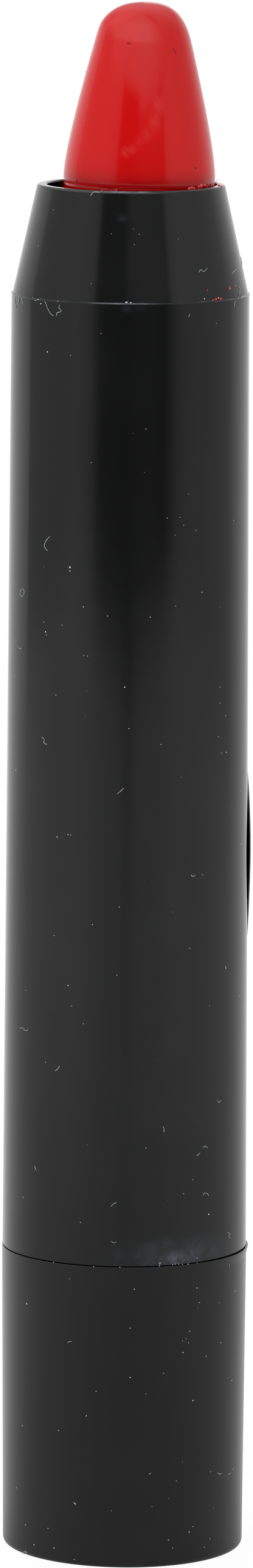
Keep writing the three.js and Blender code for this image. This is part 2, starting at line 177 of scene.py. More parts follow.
# Lint, each fibre as the pixels that it passes through
BARREL_FIBRES = (
    ((57, 494), (64, 492), (70, 492), (75, 498), (78, 506), (83, 515), (88, 519)),
    ((93, 519), (94, 514), (100, 512), (100, 509), (97, 506), (98, 501)), ((24, 488), (25, 498), (27, 508)),
    ((31, 487), (31, 494), (28, 502)), ((33, 485), (36, 491), (37, 499)),
    ((327, 447), (330, 443), (334, 446), (338, 444), (341, 440)),
    ((381, 450), (387, 444), (394, 439), (398, 438)),
    ((385, 504), (386, 498), (392, 488), (394, 480), (394, 472)), ((394, 480), (396, 486), (397, 491)),
    ((386, 469), (389, 471)), ((310, 521), (312, 516)),
    ((149, 322), (152, 317), (157, 315), (164, 316), (168, 313)),
    ((78, 905), (73, 897), (76, 888), (82, 881)),
    ((33, 977), (34, 970), (38, 968), (40, 973), (36, 980), (33, 977)),
    ((69, 1211), (73, 1215), (72, 1220), (77, 1223)), ((30, 1062), (33, 1066), (36, 1064)),
    ((193, 1304), (198, 1300), (203, 1295)), ((314, 1437), (317, 1440), (321, 1438)),
    ((33, 1689), (38, 1689), (41, 1693), (46, 1692)), ((91, 1759), (95, 1756), (98, 1751)),
    ((357, 1808), (360, 1811), (363, 1808)), ((268, 1851), (270, 1855), (269, 1860)),
    ((323, 1898), (326, 1897), (329, 1894)), ((334, 1885), (338, 1883), (341, 1886)),
    ((57, 1915), (58, 1919), (60, 1923)), ((183, 1982), (186, 1978), (191, 1976)),
    ((334, 1964), (336, 1960), (341, 1961), (343, 1965)), ((183, 2039), (187, 2042), (191, 2040)),
    ((375, 2025), (378, 2027), (376, 2031), (378, 2034)), ((262, 2081), (263, 2076), (265, 2074)),
    ((396, 422), (398, 433), (396, 439)), ((370, 1587), (371, 1592)),
)
BASE_FIBRES = (
    ((37, 2554), (40, 2549), (44, 2551), (42, 2546)), ((111, 2206), (114, 2204), (118, 2204)),
    ((121, 2468), (125, 2472)), ((358, 2420), (361, 2422), (364, 2420)), ((375, 2422), (379, 2420)),
    ((381, 2414), (384, 2412)), ((245, 2422), (248, 2420)), ((377, 2077), (377, 2082)),
)
RIM_FIBRES = (((354, 300), (357, 296), (360, 295)), ((168, 310), (170, 306)), ((190, 315), (193, 309)))

# Dust and crumbs, each as its pixel and its size in pixels
BARREL_DUST = (
    (88, 345, 1.2), (63, 404, 1.6), (229, 385, 1.1), (293, 393, 1.2), (183, 384, 1.1),
    (67, 499, 2.4), (95, 495, 2.2), (54, 489, 2.0), (20, 481, 2.2), (31, 487, 2.4), (78, 578, 2.0),
    (116, 584, 1.2), (32, 486, 1.6),
    (411, 486, 1.8), (394, 472, 2.2), (336, 491, 2.4), (349, 494, 2.0), (45, 377, 1.3), (40, 397, 1.3),
    (385, 371, 1.5), (150, 466, 1.3), (221, 402, 1.2), (166, 548, 1.2), (208, 497, 3.8), (215, 498, 3.4),
    (240, 705, 1.3), (310, 812, 1.2), (150, 760, 1.2), (275, 851, 1.4), (288, 879, 1.4), (302, 863, 1.5),
    (296, 850, 1.3), (322, 871, 1.3), (384, 855, 1.5), (115, 932, 3.2), (115, 938, 2.2), (332, 973, 1.9),
    (137, 997, 1.6), (177, 1012, 1.5), (247, 1014, 1.8), (289, 996, 1.3), (362, 997, 1.5),
    (72, 1022, 2.0), (102, 1027, 1.4), (75, 1038, 2.4), (76, 1043, 1.8), (138, 1077, 1.4), (144, 1078, 1.4),
    (205, 1129, 1.8), (92, 1142, 1.6), (362, 1129, 1.4), (362, 1155, 1.4), (371, 1176, 1.7),
    (212, 1197, 1.6), (265, 1223, 1.6), (359, 1210, 1.5), (372, 1236, 2.4), (364, 1237, 1.6),
    (26, 1265, 2.3), (396, 1299, 1.7), (298, 1277, 1.3), (94, 1375, 1.9), (112, 1371, 1.6), (116, 1372, 1.5),
    (396, 1387, 1.8), (333, 1437, 1.5), (196, 1490, 1.4), (89, 1537, 1.6), (152, 1519, 1.3),
    (312, 1558, 1.4), (371, 1590, 2.2), (192, 1602, 1.7), (112, 1619, 1.9), (43, 1627, 1.6),
    (118, 1653, 1.6), (137, 1682, 1.5), (394, 1636, 1.6), (75, 1745, 1.5), (240, 1886, 1.7),
    (38, 1967, 2.0), (302, 1961, 1.4), (317, 1938, 1.3), (132, 2008, 1.6), (343, 1995, 2.9),
    (324, 2067, 1.6), (324, 2075, 1.6), (284, 2078, 1.4), (288, 2077, 1.6), (294, 2077, 1.4),
    (300, 2077, 1.3), (309, 2077, 2.0), (262, 2075, 1.8), (88, 2074, 1.6), (154, 2081, 1.6),
    (197, 2082, 1.5),
)
BASE_DUST = (
    (44, 2142, 2.3), (114, 2101, 1.4), (221, 2118, 1.9), (324, 2116, 1.9), (328, 2140, 1.7),
    (361, 2140, 1.7), (386, 2121, 1.9), (214, 2182, 1.7), (312, 2187, 1.9), (306, 2199, 1.6),
    (310, 2206, 1.5), (300, 2203, 1.5), (301, 2222, 1.9), (363, 2206, 1.7), (339, 2228, 1.7),
    (214, 2263, 2.0), (269, 2256, 1.5), (381, 2268, 2.0), (158, 2286, 1.4), (317, 2301, 2.2),
    (142, 2326, 2.0), (37, 2342, 2.1), (346, 2418, 1.5), (290, 2433, 1.6), (27, 2444, 1.6),
    (123, 2470, 2.4), (89, 2543, 1.9), (56, 2538, 2.1), (42, 2505, 2.0), (79, 2511, 1.7), (277, 2530, 1.8),
    (284, 2543, 1.7), (311, 2517, 1.9), (317, 2508, 1.5), (345, 2528, 1.8), (336, 2542, 1.6),
    (122, 2562, 1.8), (240, 2290, 1.2), (96, 2350, 1.3), (300, 2402, 1.3), (351, 2477, 1.2),
    (183, 2482, 1.2), (250, 2475, 1.1),
)
PAINT_SPOTS = (
    (355, 492, 2.4), (359, 490, 2.8), (363, 491, 2.6), (367, 493, 2.2), (351, 493, 1.8),
    (378, 474, 3.0), (377, 471, 1.6), (341, 477, 1.5),
)
CRAYON_SPECKS = (
    (168, 68, 1.8), (163, 100, 1.6), (148, 160, 1.6), (124, 233, 1.5), (126, 297, 2.0), (322, 276, 1.8),
    (158, 72, 1.4), (150, 88, 1.5), (141, 118, 1.3), (286, 82, 1.5), (289, 86, 1.3),
)
MOUTH_CRUMBS = (
    (311, 310, 3.2), (315, 309, 3.6), (319, 310, 2.8), (327, 307, 3.2), (331, 306, 4.0),
    (336, 305, 3.6), (324, 311, 1.8), (341, 307, 2.0),
)
RIM_CRUMBS = ((354, 302, 4.2), (357, 303, 2.4), (360, 305, 3.2), (364, 306, 2.6), (351, 306, 2.0))


# Shapes


def bezier(points, steps):
    """Points of a cubic curve through its ends, without its first point."""
    a, b, c, d = (Vector(p) for p in points)
    out = []
    for step in range(1, steps + 1):
        t = step / steps
        s = 1 - t
        out.append(tuple(s * s * s * a + 3 * s * s * t * b + 3 * s * t * t * c + t * t * t * d))
    return out


def rounded(start, corner, end, steps=6):
    """A rounded corner from one [radius, height] point to another."""
    start, corner, end = Vector(start), Vector(corner), Vector(end)
    out = []
    for step in range(steps + 1):
        t = step / steps
        out.append(tuple((1 - t) ** 2 * start + 2 * t * (1 - t) * corner + t * t * end))
    return out


def straight(start, end, steps):
    """Points of a straight stretch without its ends, two of them close to the ends to keep it straight."""
    start, end = Vector(start), Vector(end)
    guard = GUARD / (end - start).length
    shares = [guard] + [step / steps for step in range(1, steps)] + [1 - guard]
    return [tuple(start.lerp(end, share)) for share in shares]


def link(name, data):
    """A new object in the scene."""
    obj = bpy.data.objects.new(name, data)
    bpy.context.scene.collection.objects.link(obj)
    return obj


def new_object(name, bm, sharp_degrees=SHARP_DEGREES):
    """A smooth-shaded object from a bmesh, with its faces out and its edges sharp past an angle."""
    bmesh.ops.recalc_face_normals(bm, faces=bm.faces)
    mesh = bpy.data.meshes.new(name)
    bm.to_mesh(mesh)
    bm.free()
    mesh.shade_smooth()
    mesh.set_sharp_from_angle(angle=math.radians(sharp_degrees))
    return link(name, mesh)


def skin(bm, rings):
    """Joins each ring of points to the next with faces. A ring may be a single point."""
    for low, high in zip(rings, rings[1:]):
        sides = max(len(low), len(high))
        for side in range(sides):
            after = (side + 1) % sides
            if len(low) == 1:
                bm.faces.new((low[0], high[after], high[side]))
            elif len(high) == 1:
                bm.faces.new((low[side], low[after], high[0]))
            else:
                bm.faces.new((low[side], low[after], high[after], high[side]))


def lathe(name, profile, shape):
    """Turns a profile of [radius, height] points about Z and puts each point through a shaping function.

    A profile whose ends are off the axis closes on itself.
    """
    bm = bmesh.new()
    rings = []
    for radius, height in profile:
        if radius < ON_AXIS:
            rings.append([bm.verts.new(shape(Vector((0, 0, height)), 0, 0))])
            continue
        ring = []
        for side in range(LATHE_SIDES):
            angle = 2 * math.pi * side / LATHE_SIDES
            point = Vector((radius * math.sin(angle), -radius * math.cos(angle), height))
            ring.append(bm.verts.new(shape(point, radius, angle)))
        rings.append(ring)
    closed = min(profile[0][0], profile[-1][0]) > ON_AXIS
    skin(bm, rings + rings[:1] if closed else rings)
    return new_object(name, bm)


def hold(obj, material, body, slot, *nodes):
    """Gives a piece its material, puts it on the body that it rides on and hides the nodes that it replaces.
    The slot is not used.
    """
    obj.data.materials.append(material)
    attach(obj, body)
    if nodes:
        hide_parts(*nodes)


def barrel_radius(height):
    """The outer radius of the barrel at a height."""
    if height < SHOULDER:
        share = (height - BARREL_FOOT) / (SHOULDER - BARREL_FOOT)
        return BARREL_FOOT_RADIUS - BARREL_DRAFT * share
    share = (height - SHOULDER) / NOSE_LENGTH
    return NOSE_RADIUS + (RIM_RADIUS - NOSE_RADIUS) * share


def stick_radius(height):
    """The outer radius of the base or the barrel at a height."""
    if height < BASE_TOP:
        return BASE_FOOT_RADIUS + BASE_DRAFT * height / BASE_TOP
    return barrel_radius(height)


def crayon_profile():
    """The crayon's [radius, height above its foot] points, from its foot to its tip."""

    def below_tip(*points):
        return [(radius, CRAYON_LENGTH - drop) for radius, drop in points]

    shank, widest, dome_foot = below_tip(SHANK_TOP, WIDEST, DOME_FOOT)
    shank_foot = (CRAYON_SHANK_RADIUS, CRAYON_CUP_DEPTH)
    leaving, arriving = (shank[0], shank[1] + SHANK_HANDLE), (widest[0], widest[1] - SHANK_HANDLE)
    profile = [(0, 0), (CRAYON_FOOT_RADIUS, 0), (CRAYON_FOOT_RADIUS, CRAYON_CUP_DEPTH), shank_foot]
    profile += straight(shank_foot, shank, steps=16) + [shank]
    profile += bezier((shank, leaving, arriving, widest), steps=36)
    profile += bezier((widest, *below_tip(*FLANK_HANDLES), dome_foot), steps=48)
    profile += bezier((dome_foot, *below_tip(*DOME_HANDLES, DOME_TIP)), steps=40)
    return profile


CRAYON_PROFILE = crayon_profile()


def crayon_radius(height):
    """The crayon's radius at a height above the ground."""
    up = height - CRAYON_FOOT
    for (low_radius, low), (high_radius, high) in zip(CRAYON_PROFILE, CRAYON_PROFILE[1:]):
        if low < high and low <= up <= high:
            return low_radius + (high_radius - low_radius) * (up - low) / (high - low)
    return 0.0


def crayon_middle(height):
    """How far the leaning crayon's middle lies from the stick's axis at a height."""
    return (height - CRAYON_FOOT) * math.tan(CRAYON_LEAN)


# Camera


def make_camera():
    """The camera at the photograph's viewing angle, in front of the stick and a little above it."""
    data = bpy.data.cameras.new("camera")
    data.sensor_width = SENSOR
    data.lens = LENS
    data.clip_start, data.clip_end = CAMERA_CLIP
    camera = link("camera", data)
    back = Vector((0, -math.cos(CAMERA_ELEVATION), math.sin(CAMERA_ELEVATION)))
    aim = (-back).to_track_quat("-Z", "Y").to_matrix().to_4x4()
    roll = Matrix.Rotation(CAMERA_ROLL, 4, "Z")
    camera.matrix_world = Matrix.Translation(CAMERA_TARGET + back * CAMERA_DISTANCE) @ aim @ roll
    bpy.context.scene.camera = camera
    return camera


camera = make_camera()


def sight(x, y):
    """Where the camera's line of sight through a pixel of the photograph starts, and its direction."""
    ray = Vector(((x - PHOTO_WIDTH / 2) / FOCAL, (PHOTO_HEIGHT / 2 - y) / FOCAL, -1))
    return camera.matrix_world.translation, (camera.matrix_world.to_3x3() @ ray).normalized()


def on_turned(x, y, radius_at, middle_at, lift):
    """The point of a turned surface that the camera sees at a pixel, and the way out of it there."""
    start, ray = sight(x, y)
    reach = CAMERA_DISTANCE - SHOULDER_RADIUS
    for _ in range(SIGHT_PASSES):
        height = (start + ray * reach).z
        radius = radius_at(height) + lift
        middle = middle_at(height)
        a = ray.x**2 + ray.y**2
        b = 2 * ((start.x - middle) * ray.x + start.y * ray.y)
        c = (start.x - middle) ** 2 + start.y**2 - radius**2
        reach = (-b - math.sqrt(max(0.0, b * b - 4 * a * c))) / (2 * a)
    point = start + ray * reach
    return point, Vector((point.x - middle_at(point.z), point.y, 0)).normalized()


def on_stick(x, y, lift=0.0):
    """The point of the barrel or the base at a pixel, and the way out."""
    return on_turned(x, y, stick_radius, lambda height: 0.0, lift)


def on_crayon(x, y, lift=0.0):
    """The point of the crayon at a pixel, and the way out."""
    return on_turned(x, y, crayon_radius, crayon_middle, lift)


def on_rim(x, y, lift=0.0):
    """The point of the rim's level that the camera sees at a pixel, and up."""
    start, ray = sight(x, y)
    return start + ray * ((MOUTH + lift - start.z) / ray.z), Vector((0, 0, 1))


# Materials

# Noises, as waves a metre, then detail and roughness
PLASTIC_CLOUD = (260, 4)
RUBBING = (2600, 3, 0.6)
ORANGE_PEEL = (900, 2)
WEAR_AND_HIGHLIGHT_NOISE = (1400, 3, 0.6)
GREASE = (900, 4, 0.7)
PAINT_CLOUD = (420, 4, 0.6)
SCRATCHES = (1500, 3, 0.65)
PAINT_SKIN = (480, 3)
CRUMB_TINTS = (9000, 2)
CRUMB_SKIN = (16000, 2)
MOULDED_CLOUD = (300, 3)
MOULDED_SKIN = (1400, 2)
LABEL_GRAIN = (2200, 4, 0.6)
EDGE_GRAIN = (4000, 3)
FLOOR_MOTTLE = (40, 3)

# What a place is multiplied by along each axis before its noise, and how far the scratches are turned
RUBBING_STRETCH = (1, 1, 0.12)
SCRATCH_STRETCH = (6, 6, 0.5)
LABEL_STRETCH = (1, 1, 3)
SCRATCH_TILT = (0.3, 0.75, 0.2)

# Soft steps: where each starts and ends, then what it gives there (0 and 1 where it isn't said)
PLASTIC_VEIL = (0.45, 0.8, 0.0, 0.0012)
WEAR_AND_HIGHLIGHT_PATCHES = (0.3, 0.65, 0.25, 1.0)
GREASE_PATCHES = (0.3, 0.75, 0.15, 1.0)
BLOOM_PATCHES = (0.35, 0.6, 0.35, 1.1)
CRUMB_STEP = (0.35, 0.65)
# Band of darker red about the mouth: wet paint, with painted shade where the crayon goes into the barrel
WET_SHADE_TOP = (MOUTH - 0.3 * MM, MOUTH + 1.3 * MM)
WET_SHADE_FOOT = (MOUTH - 0.4 * MM, MOUTH - 0.95 * MM)

# Specks, as their spacing, size, share of cells and seed
DUST_SHARE = 0.35
FINE_DUST = (0.8 * MM, 0.022 * MM, DUST_SHARE, 3.1)
COARSE_DUST = (2.2 * MM, 0.036 * MM, DUST_SHARE, 7.7)
PAINT_SPECKS = (1.3 * MM, 0.030 * MM, 0.3, 5.3)
SPECK_LEAST = 0.4
SPECK_EDGE = 0.25

# Wear of the barrel's edges with a painted highlight along them, as its height, half height and strength in
# front
SHOULDER_WEAR_AND_HIGHLIGHT = (SHOULDER, 0.04 * MM, 0.34)
RIM_WEAR_AND_HIGHLIGHT = (MOUTH - 0.05 * MM, 0.05 * MM, 0.30)
WEAR_AND_HIGHLIGHT_LEAST = 0.02
WEAR_AND_HIGHLIGHT_CORE = 0.4
WEAR_AND_HIGHLIGHT_TURN = 0.06
WEAR_AND_HIGHLIGHT_REACH = (0.37, 0.05)

# Blots, as their size along each axis and their strength
SMEAR_WIDE = (5.0 * MM, 5.5 * MM, 1.55 * MM), 0.25
SMEAR_CORE = (1.3 * MM, 1.9 * MM, 0.85 * MM), 0.55
SMUDGE = (0.5 * MM, 0.5 * MM, 0.35 * MM), 0.10
PIT_BLOT = (0.13 * MM,) * 3, 1.0

# How many times as deep as wide a patch of bloom is
BLOOM_DEPTH = 6

# Colours
BARREL_BLACK = (0.0028, 0.0030, 0.0031)
BASE_BLACK = (0.0030, 0.0031, 0.0031)
DUST_GREY = (0.34, 0.34, 0.33, 1)
WEAR_AND_HIGHLIGHT_GREY = (0.52, 0.58, 0.68, 1)
GREASE_GREY = (0.13, 0.16, 0.20, 1)
PAINT_REDS = (0.51, 0.0004, 0.0006, 1), (0.56, 0.0010, 0.0014, 1)
# Darker red near the mouth: wet paint, with painted shade
PAINT_WET_SHADED = (0.37, 0.0002, 0.0008, 1)
PAINT_SPECK = (0.14, 0.003, 0.005, 1)
# Darker red in the pit: painted shade in its hollow
PAINT_PIT_SHADE = (0.16, 0.003, 0.004, 1)
LABEL_BLACKS = (0.012, 0.011, 0.013, 1), (0.030, 0.028, 0.031, 1)
EDGE_AMBERS = (0.20, 0.16, 0.10, 1), (0.32, 0.26, 0.17, 1)
LINT_GREYS = (0.25, 0.28, 0.28), (0.50, 0.54, 0.54)
DUST_GREYS = (0.42, 0.42, 0.41), (0.80, 0.80, 0.78)
FLAKE_REDS = (0.62, 0.006, 0.010), (0.90, 0.11, 0.10)
SPECK_REDS = (0.10, 0.002, 0.004), (0.22, 0.004, 0.006)
PLASTIC_SHADES = (0.75, 1.25)
MOULDED_SHADES = (0.88, 1.08)
FLOOR_WHITES = (0.86, 0.86, 0.86, 1), (0.90, 0.90, 0.895, 1)
WHITE = (1, 1, 1, 1)
BLACK = (0, 0, 0, 1)

# Strengths of the marks, of the painted shade in the pit and of the bloom
DUST_STRENGTH = 0.7
SPECK_STRENGTH = 0.6
PIT_SHADE_STRENGTH = 0.6
BLOOM_LEVEL = 0.020

# Roughness, as how much the grain changes it, then its least value
PAINT_ROUGHNESS = (0.06, 0.03)
LABEL_ROUGHNESS = (0.2, 0.35)
MOULDED_SPREAD = 0.15
DUST_ROUGHNESS = 0.4
EDGE_ROUGHNESS = 0.6

# How the surfaces bend light, and how light spreads inside the paint
PLASTIC_IOR = 1.5
PAINT_IOR = 1.43
FILM_IOR = 1.48
PAINT_GLOW = {
    "Subsurface Weight": 0.12, "Subsurface Radius": (1.0, 0.15, 0.12), "Subsurface Scale": 0.5 * MM,
}

# Depths of the bumps
PEEL_DEPTH = 0.0012 * MM
RUBBING_DEPTH = 0.0004 * MM
DUST_DEPTH = 0.02 * MM
PAINT_DEPTH = 0.0008 * MM
PIT_DEPTH = -0.03 * MM
CRUMB_DEPTH = 0.01 * MM
MOULDED_DEPTH = 0.002 * MM
LABEL_DEPTH = 0.004 * MM


class Nodes:
    """Short names for making and joining shader nodes."""

    def __init__(self, tree):
        self.tree = tree
        tree.nodes.clear()

    def add(self, kind, inputs=None, **settings):
        """Adds a shader node with its settings, and sets or joins its inputs."""
        node = self.tree.nodes.new("ShaderNode" + kind)
        for key, value in settings.items():
            setattr(node, key, value)
        for key, value in (inputs or {}).items():
            self.put(node.inputs[key], value)
        return node

    def put(self, socket, value):
        if isinstance(value, bpy.types.NodeSocket):
            self.tree.links.new(value, socket)
        else:
            socket.default_value = value

    def math(self, operation, a, b=0.0, clamp=False):
        return self.add("Math", {0: a, 1: b}, operation=operation, use_clamp=clamp).outputs[0]

    def times(self, *values):
        product = values[0]
        for value in values[1:]:
            product = self.math("MULTIPLY", product, value)
        return product

    def scaled(self, value, by, plus):
        """A value times another, plus a third."""
        return self.add("Math", {0: value, 1: by, 2: plus}, operation="MULTIPLY_ADD").outputs[0]

    def smooth(self, value, low, high, start=0.0, end=1.0):
        """Goes smoothly from start to end as value goes from low to high."""
        ends = {"Value": value, "From Min": low, "From Max": high, "To Min": start, "To Max": end}
        return self.add("MapRange", ends, interpolation_type="SMOOTHSTEP").outputs[0]

    def mix(self, factor, a, b, blend="MIX"):
        """Mixes two colours. A Mix node takes its colours at inputs 6 and 7 and gives its colour at 2."""
        node = self.add("Mix", data_type="RGBA", blend_type=blend)
        self.put(node.inputs[0], factor)
        self.put(node.inputs[6], a)
        self.put(node.inputs[7], b)
        return node.outputs[2]

    def grey(self, value):
        return self.add("CombineColor", {0: value, 1: value, 2: value}).outputs[0]

    def noise(self, vector, scale, detail=2.0, rough=0.5):
        inputs = {"Vector": vector, "Scale": scale, "Detail": detail, "Roughness": rough}
        return self.add("TexNoise", inputs).outputs["Fac"]

    def vector(self, operation, a, b=(0, 0, 0)):
        return self.add("VectorMath", {0: a, 1: b}, operation=operation).outputs

    def stretch(self, vector, scale):
        return self.vector("MULTIPLY", vector, scale)[0]

    def specks(self, vector, spacing, size, share, seed):
        """Dots of mixed size and brightness, one to each chosen cell of a grid with that spacing."""
        moved = self.vector("ADD", vector, (seed, seed, seed))[0]
        cells = self.add("TexVoronoi", {"Vector": moved, "Scale": 1 / spacing, "Randomness": 1.0})
        colour = self.add("SeparateColor", {0: cells.outputs["Color"]})
        chosen = self.math("LESS_THAN", colour.outputs[0], share)
        radius = self.scaled(colour.outputs[1], size / spacing, SPECK_LEAST * size / spacing)
        inside = self.math("SUBTRACT", radius, cells.outputs["Distance"])
        dot = self.math("DIVIDE", inside, SPECK_EDGE * size / spacing, clamp=True)
        return self.times(dot, chosen, colour.outputs[2])

    def blot(self, place, middle, size, strength):
        """A soft blot about a point, out to a size along each axis."""
        offset = self.stretch(self.vector("SUBTRACT", place, middle)[0], tuple(1 / side for side in size))
        return self.smooth(self.vector("LENGTH", offset)["Value"], 1.0, 0.0, 0.0, strength)

    def place(self):
        """The surface's point in the object's own axes, which are the shared frame's."""
        return self.add("TexCoord").outputs["Object"]

    def height(self, place):
        return self.add("SeparateXYZ", {0: place}).outputs["Z"]

    def turn(self, place):
        """The angle round the stick, 0 in front and positive to the right."""
        split = self.add("SeparateXYZ", {0: place})
        return self.math("ARCTAN2", split.outputs["X"], self.times(split.outputs["Y"], -1.0))


def new_material(name):
    material = bpy.data.materials.new(name)
    material.use_nodes = True
    return material, Nodes(material.node_tree)


def surface(n, inputs):
    """A Principled surface joined to the material's output."""
    shader = n.add("BsdfPrincipled", inputs)
    n.add("OutputMaterial", {"Surface": shader.outputs[0]})


def bump(n, height, distance, under=None):
    """A bump as deep as the distance, on top of another one if that is given."""
    inputs = {"Height": height, "Distance": distance, "Strength": 1.0}
    if under is not None:
        inputs["Normal"] = under
    return n.add("Bump", inputs).outputs[0]


def shades(colour, shares):
    """A colour made darker or paler by each of the shares, with full alpha."""
    return [(*[min(1, part * share) for part in colour], 1) for share in shares]


def black_plastic(name, colour, roughness, spread, marks=None):
    """Moulded black plastic with orange peel, faint rubbing marks and dust."""
    material, n = new_material(name)
    place = n.place()
    cloud = n.noise(place, *PLASTIC_CLOUD)
    rubbed = n.noise(n.stretch(place, RUBBING_STRETCH), *RUBBING)
    fine = n.specks(place, *FINE_DUST)
    coarse = n.specks(place, *COARSE_DUST)
    spots = n.math("MAXIMUM", fine, coarse)
    veil = n.smooth(cloud, *PLASTIC_VEIL)
    base = n.mix(cloud, *shades(colour, PLASTIC_SHADES))
    base = n.mix(n.times(spots, DUST_STRENGTH), base, DUST_GREY)
    base = n.mix(1.0, base, n.grey(veil), "ADD")
    for mask, tint in marks(n, place) if marks else ():
        base = n.mix(mask, base, tint)
    shine = n.scaled(rubbed, spread, roughness - spread / 2)
    shine = n.scaled(spots, DUST_ROUGHNESS, shine)
    peel = bump(n, n.noise(place, *ORANGE_PEEL), PEEL_DEPTH)
    grain = bump(n, rubbed, RUBBING_DEPTH, under=peel)
    dots = bump(n, spots, DUST_DEPTH, under=grain)
    surface(n, {"Base Color": base, "Roughness": shine, "IOR": PLASTIC_IOR, "Normal": dots})
    return material


def wear_and_highlight_line(n, place, height, half, strength):
    """A patchy line of wear and painted bluish highlight along an edge, strongest in front and a little to
    the left.
    """
    near = n.math("ABSOLUTE", n.math("SUBTRACT", n.height(place), height))
    line = n.smooth(near, half, half * WEAR_AND_HIGHLIGHT_CORE)
    off_middle = n.math("ABSOLUTE", n.math("ADD", n.turn(place), WEAR_AND_HIGHLIGHT_TURN))
    front = n.smooth(off_middle, *WEAR_AND_HIGHLIGHT_REACH, WEAR_AND_HIGHLIGHT_LEAST, strength)
    patchy = n.smooth(n.noise(place, *WEAR_AND_HIGHLIGHT_NOISE), *WEAR_AND_HIGHLIGHT_PATCHES)
    return n.times(line, front, patchy)


def barrel_marks(n, place):
    """The barrel's worn edges with painted highlights, the greasy smear low in front, and fainter smudges.
    """
    # Pale bluish lines at the shoulder and the rim: edge wear with a painted highlight along it, strongest
    # facing the front
    yield wear_and_highlight_line(n, place, *SHOULDER_WEAR_AND_HIGHLIGHT), WEAR_AND_HIGHLIGHT_GREY
    yield wear_and_highlight_line(n, place, *RIM_WEAR_AND_HIGHLIGHT), WEAR_AND_HIGHLIGHT_GREY
    patchy = n.smooth(n.noise(place, *GREASE), *GREASE_PATCHES)
    smear = on_stick(*SMEAR)[0]
    cloud = n.math("MAXIMUM", n.blot(place, smear, *SMEAR_WIDE), n.blot(place, smear, *SMEAR_CORE))
    for x, y in SMUDGES:
        cloud = n.math("MAXIMUM", cloud, n.blot(place, on_stick(x, y)[0], *SMUDGE))
    yield n.times(cloud, patchy), GREASE_GREY


def bloom_patches(n, place):
    """Where the crayon's paint has bloomed a little pale, in patches that reach far back from its front."""
    cloud = 0.0
    for x, y, half_width, half_height, strength in BLOOM:
        size = (half_width * PIXEL, BLOOM_DEPTH * half_width * PIXEL, half_height * PIXEL)
        cloud = n.math("MAXIMUM", cloud, n.blot(place, on_crayon(x, y)[0], size, strength))
    return cloud


def paint_material(name):
    """Waxy red paint: a smooth skin with fine scratches, dark specks and bloom, a dent with painted shade in
    it, and wet paint with painted shade near the mouth.
    """
    material, n = new_material(name)
    place = n.place()
    cloud = n.noise(place, *PAINT_CLOUD)
    turned = n.add("Mapping", {"Vector": place, "Rotation": SCRATCH_TILT}).outputs[0]
    scratches = n.noise(n.stretch(turned, SCRATCH_STRETCH), *SCRATCHES)
    specks = n.specks(place, *PAINT_SPECKS)
    base = n.mix(cloud, *PAINT_REDS)
    # A band of darker red about the mouth: wet paint, with painted shade where the crayon goes into the
    # barrel
    over = n.smooth(n.height(place), *WET_SHADE_TOP)
    dry_unshaded = n.math("MAXIMUM", over, n.smooth(n.height(place), *WET_SHADE_FOOT))
    base = n.mix(dry_unshaded, PAINT_WET_SHADED, base)
    patchy = n.smooth(scratches, *BLOOM_PATCHES)
    base = n.mix(1.0, base, n.grey(n.times(bloom_patches(n, place), patchy, BLOOM_LEVEL)), "ADD")
    base = n.mix(n.times(specks, SPECK_STRENGTH), base, PAINT_SPECK)
    # A small dent in the dome, with painted shade darkening its hollow
    pit_dent_and_shade = n.blot(place, on_crayon(*PIT)[0], *PIT_BLOT)
    base = n.mix(n.times(pit_dent_and_shade, PIT_SHADE_STRENGTH), base, PAINT_PIT_SHADE)
    shine = n.scaled(scratches, *PAINT_ROUGHNESS)
    skin = bump(n, n.noise(place, *PAINT_SKIN), PAINT_DEPTH)
    fine = bump(n, scratches, PAINT_DEPTH, under=skin)
    dent = bump(n, pit_dent_and_shade, PIT_DEPTH, under=fine)
    surface(n, {"Base Color": base, "Roughness": shine, "IOR": PAINT_IOR, "Normal": dent, **PAINT_GLOW})
    return material


def crumb_material(name, dark, pale, roughness):
    """Crumbs or fibres of two mixed colours."""
    material, n = new_material(name)
    place = n.place()
    tint = n.mix(n.smooth(n.noise(place, *CRUMB_TINTS), *CRUMB_STEP), (*dark, 1), (*pale, 1))
    skin = bump(n, n.noise(place, *CRUMB_SKIN), CRUMB_DEPTH)
    surface(n, {"Base Color": tint, "Roughness": roughness, "Normal": skin})
    return material


def moulded_material(name, colour, roughness):
    """Plain moulded plastic for the pieces inside."""
    material, n = new_material(name)
    place = n.place()
    cloud = n.noise(place, *MOULDED_CLOUD)
    tint = n.mix(cloud, *shades(colour, MOULDED_SHADES))
    shine = n.scaled(cloud, MOULDED_SPREAD, roughness)
    skin = bump(n, n.noise(place, *MOULDED_SKIN), MOULDED_DEPTH)
    surface(n, {"Base Color": tint, "Roughness": shine, "IOR": PLASTIC_IOR, "Normal": skin})
    return material


def label_material(name):
    """Dark film with a fibrous grain."""
    material, n = new_material(name)
    place = n.place()
    grain = n.noise(n.stretch(place, LABEL_STRETCH), *LABEL_GRAIN)
    tint = n.mix(grain, *LABEL_BLACKS)
    skin = bump(n, grain, LABEL_DEPTH)
    shine = n.scaled(grain, *LABEL_ROUGHNESS)
    surface(n, {"Base Color": tint, "Roughness": shine, "IOR": FILM_IOR, "Normal": skin})
    return material


def edge_material(name):
    """The amber cut edge of the label."""
    material, n = new_material(name)
    place = n.place()
    grain = n.noise(place, *EDGE_GRAIN)
    tint = n.mix(grain, *EDGE_AMBERS)
    surface(n, {"Base Color": tint, "Roughness": EDGE_ROUGHNESS})
    return material


# Barrel


def barrel_shape(point, radius, angle):
    """Makes the mould line at the shoulder a little uneven."""
    if radius > SHOULDER_RADIUS and abs(point.z - SHOULDER) < MOULD_LINE_HALF / 2:
        around = Vector((math.sin(angle), math.cos(angle), 0)) * MOULD_WAVES
        wobble = noise.noise(around) + MOULD_RIPPLE_SHARE * noise.noise(around * MOULD_RIPPLES)
        grow = 1 + (wobble * MOULD_UNEVEN - MOULD_SHRINK) / radius
        point = Vector((point.x * grow, point.y * grow, point.z + wobble * MOULD_SHIFT))
    return point


